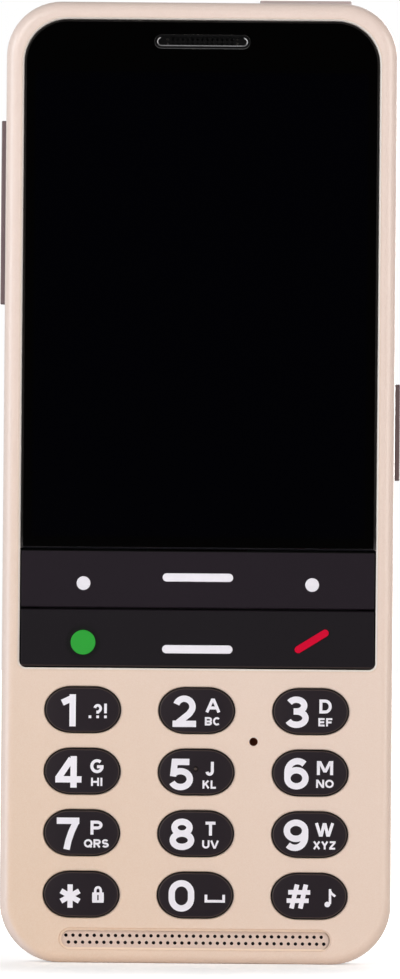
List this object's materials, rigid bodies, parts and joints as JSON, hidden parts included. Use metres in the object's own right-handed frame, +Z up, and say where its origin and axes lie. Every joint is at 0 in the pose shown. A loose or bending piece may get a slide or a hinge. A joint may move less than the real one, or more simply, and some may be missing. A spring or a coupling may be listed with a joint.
{
  "type": "feature phone",
  "caption": "Bar-shaped feature phone with a black glass front, two full-width rocker bars, domed number keys and a removable back cover over the battery.",
  "frame": {"origin": "middle of the bottom edge, on the surface that the phone stands on", "axes": "+Z up along the phone, the front faces -Y, +X to the right seen from the front"},
  "size_m": [0.057, 0.0154, 0.1367],
  "materials": {
    "champagne_shell": "satin champagne lacquer on moulded plastic",
    "rear_shell": "satin mauve brown",
    "cover": "satin champagne lacquer on moulded plastic",
    "black_glass": "polished black-backed glass",
    "tape": "matt black tape",
    "grille_metal": "fine satin",
    "receiver": "matt",
    "display_cell": "gloss",
    "tray": "matt white",
    "ribbon": "amber film",
    "bar_plastic": "fine satin black",
    "silicone": "matt translucent white",
    "white_mark": "satin white",
    "green_mark": "satin green",
    "red_mark": "satin red",
    "key_plastic": "fine matt black",
    "dome_film": "clear film over metal domes",
    "board": "green solder resist",
    "mic_can": "satin",
    "speaker_mesh": "satin champagne",
    "chassis": "die-cast grey",
    "socket_metal": "satin",
    "contact_block": "matt black",
    "battery_wrap": "satin dark label film, unprinted",
    "screw_steel": "blackened",
    "side_key_plastic": "satin mauve brown",
    "assist_key_plastic": "fine satin black",
    "camera_black": "matt black",
    "ring_metal": "turned, champagne anodised",
    "window_glass": "clear over black",
    "flash_window": "translucent pale yellow",
    "jack_plastic": "matt black",
    "speaker_box": "matt black",
    "motor_can": "satin"
  },
  "bodies": {
    "phone_body": {"front_housing": "champagne_shell", "rear_housing": "rear_shell", "display_lens": "black_glass", "lens_adhesive": "tape", "earpiece_grille": "grille_metal", "shield_cans": "grille_metal", "earpiece_receiver": "receiver", "lcd_panel": "display_cell", "lcd_backlight": "tray", "flex_ribbons": "ribbon", "keypad_mat": "silicone", "mic_gasket": "silicone", "dome_film": "dome_film", "keypad_board": "board", "main_board": "board", "usb_board": "board", "microphone": "mic_can", "speaker_grille": "speaker_mesh", "chassis_plate": "chassis", "card_holders": "socket_metal", "usb_socket": "socket_metal", "antenna": "socket_metal", "battery_contacts": "contact_block", "board_connector": "contact_block", "key_switches": "contact_block", "housing_screws": "screw_steel", "board_screws": "screw_steel", "camera_module": "camera_black", "camera_ring": "ring_metal", "camera_window": "window_glass", "flash_lens": "flash_window", "headphone_jack": "jack_plastic", "loudspeaker": "speaker_box", "vibration_motor": "motor_can"},
    "key_1_cap": {"key_1": "key_plastic"},
    "key_2_cap": {"key_2": "key_plastic"},
    "key_3_cap": {"key_3": "key_plastic"},
    "key_4_cap": {"key_4": "key_plastic"},
    "key_5_cap": {"key_5": "key_plastic"},
    "key_6_cap": {"key_6": "key_plastic"},
    "key_7_cap": {"key_7": "key_plastic"},
    "key_8_cap": {"key_8": "key_plastic"},
    "key_9_cap": {"key_9": "key_plastic"},
    "key_star_cap": {"key_star": "key_plastic"},
    "key_0_cap": {"key_0": "key_plastic"},
    "key_hash_cap": {"key_hash": "key_plastic"},
    "upper_bar_carrier": {"nav_pivot_upper": "silicone"},
    "upper_bar": {"nav_bar_upper": "bar_plastic", "upper_bar_marks": "white_mark"},
    "lower_bar_carrier": {"nav_pivot_lower": "silicone"},
    "lower_bar": {"nav_bar_lower": "bar_plastic", "lower_bar_mark": "white_mark", "call_mark": "green_mark", "end_mark": "red_mark"},
    "rocker": {"volume_rocker": "side_key_plastic"},
    "right_key": {"side_key": "side_key_plastic"},
    "top_key": {"power_key": "side_key_plastic"},
    "back_key": {"assist_key": "assist_key_plastic"},
    "cover": {"battery_cover": "cover"},
    "battery_pack": {"battery": "battery_wrap"}
  },
  "joints": [
    {"name": "key_1_press", "type": "slide", "parent": "phone_body", "child": "key_1_cap", "axis": [0, 1, 0], "range_m": [0, 0.0004], "stiffness_N_per_m": 4000},
    {"name": "key_2_press", "type": "slide", "parent": "phone_body", "child": "key_2_cap", "axis": [0, 1, 0], "range_m": [0, 0.0004], "stiffness_N_per_m": 4000},
    {"name": "key_3_press", "type": "slide", "parent": "phone_body", "child": "key_3_cap", "axis": [0, 1, 0], "range_m": [0, 0.0004], "stiffness_N_per_m": 4000},
    {"name": "key_4_press", "type": "slide", "parent": "phone_body", "child": "key_4_cap", "axis": [0, 1, 0], "range_m": [0, 0.0004], "stiffness_N_per_m": 4000},
    {"name": "key_5_press", "type": "slide", "parent": "phone_body", "child": "key_5_cap", "axis": [0, 1, 0], "range_m": [0, 0.0004], "stiffness_N_per_m": 4000},
    {"name": "key_6_press", "type": "slide", "parent": "phone_body", "child": "key_6_cap", "axis": [0, 1, 0], "range_m": [0, 0.0004], "stiffness_N_per_m": 4000},
    {"name": "key_7_press", "type": "slide", "parent": "phone_body", "child": "key_7_cap", "axis": [0, 1, 0], "range_m": [0, 0.0004], "stiffness_N_per_m": 4000},
    {"name": "key_8_press", "type": "slide", "parent": "phone_body", "child": "key_8_cap", "axis": [0, 1, 0], "range_m": [0, 0.0004], "stiffness_N_per_m": 4000},
    {"name": "key_9_press", "type": "slide", "parent": "phone_body", "child": "key_9_cap", "axis": [0, 1, 0], "range_m": [0, 0.0004], "stiffness_N_per_m": 4000},
    {"name": "key_star_press", "type": "slide", "parent": "phone_body", "child": "key_star_cap", "axis": [0, 1, 0], "range_m": [0, 0.0004], "stiffness_N_per_m": 4000},
    {"name": "key_0_press", "type": "slide", "parent": "phone_body", "child": "key_0_cap", "axis": [0, 1, 0], "range_m": [0, 0.0004], "stiffness_N_per_m": 4000},
    {"name": "key_hash_press", "type": "slide", "parent": "phone_body", "child": "key_hash_cap", "axis": [0, 1, 0], "range_m": [0, 0.0004], "stiffness_N_per_m": 4000},
    {"name": "upper_bar_press", "type": "slide", "parent": "phone_body", "child": "upper_bar_carrier", "axis": [0, 1, 0], "range_m": [0, 0.0002], "stiffness_N_per_m": 4000},
    {"name": "upper_bar_rock", "type": "hinge", "parent": "upper_bar_carrier", "child": "upper_bar", "pos_m": [0, -0.00545, 0.05443], "axis": [0, 0, 1], "range_deg": [-0.7, 0.7], "stiffness_Nm_per_rad": 0.8},
    {"name": "lower_bar_press", "type": "slide", "parent": "phone_body", "child": "lower_bar_carrier", "axis": [0, 1, 0], "range_m": [0, 0.0002], "stiffness_N_per_m": 4000},
    {"name": "lower_bar_rock", "type": "hinge", "parent": "lower_bar_carrier", "child": "lower_bar", "pos_m": [0, -0.00545, 0.04609], "axis": [0, 0, 1], "range_deg": [-0.7, 0.7], "stiffness_Nm_per_rad": 0.8},
    {"name": "rocker_rock", "type": "hinge", "parent": "phone_body", "child": "rocker", "pos_m": [-0.02403, 0.00175, 0.1063], "axis": [0, 1, 0], "range_deg": [-1.2, 1.2], "stiffness_Nm_per_rad": 0.25},
    {"name": "right_key_press", "type": "slide", "parent": "phone_body", "child": "right_key", "axis": [-1, 0, 0], "range_m": [0, 0.0003], "stiffness_N_per_m": 3500},
    {"name": "top_key_press", "type": "slide", "parent": "phone_body", "child": "top_key", "axis": [0, 0, -1], "range_m": [0, 0.0003], "stiffness_N_per_m": 3500},
    {"name": "back_key_press", "type": "slide", "parent": "phone_body", "child": "back_key", "axis": [0, -1, 0], "range_m": [0, 0.0003], "stiffness_N_per_m": 3500},
    {"name": "cover_off", "type": "slide", "parent": "phone_body", "child": "cover", "axis": [0, 1, 0], "range_m": [0, 0.016]},
    {"name": "battery_out", "type": "slide", "parent": "phone_body", "child": "battery_pack", "axis": [0, 1, 0], "range_m": [0, 0.0096]}
  ],
  "couplings": [
    {"joint": "battery_out", "follows": "cover_off", "ratio": 0.6}
  ]
}
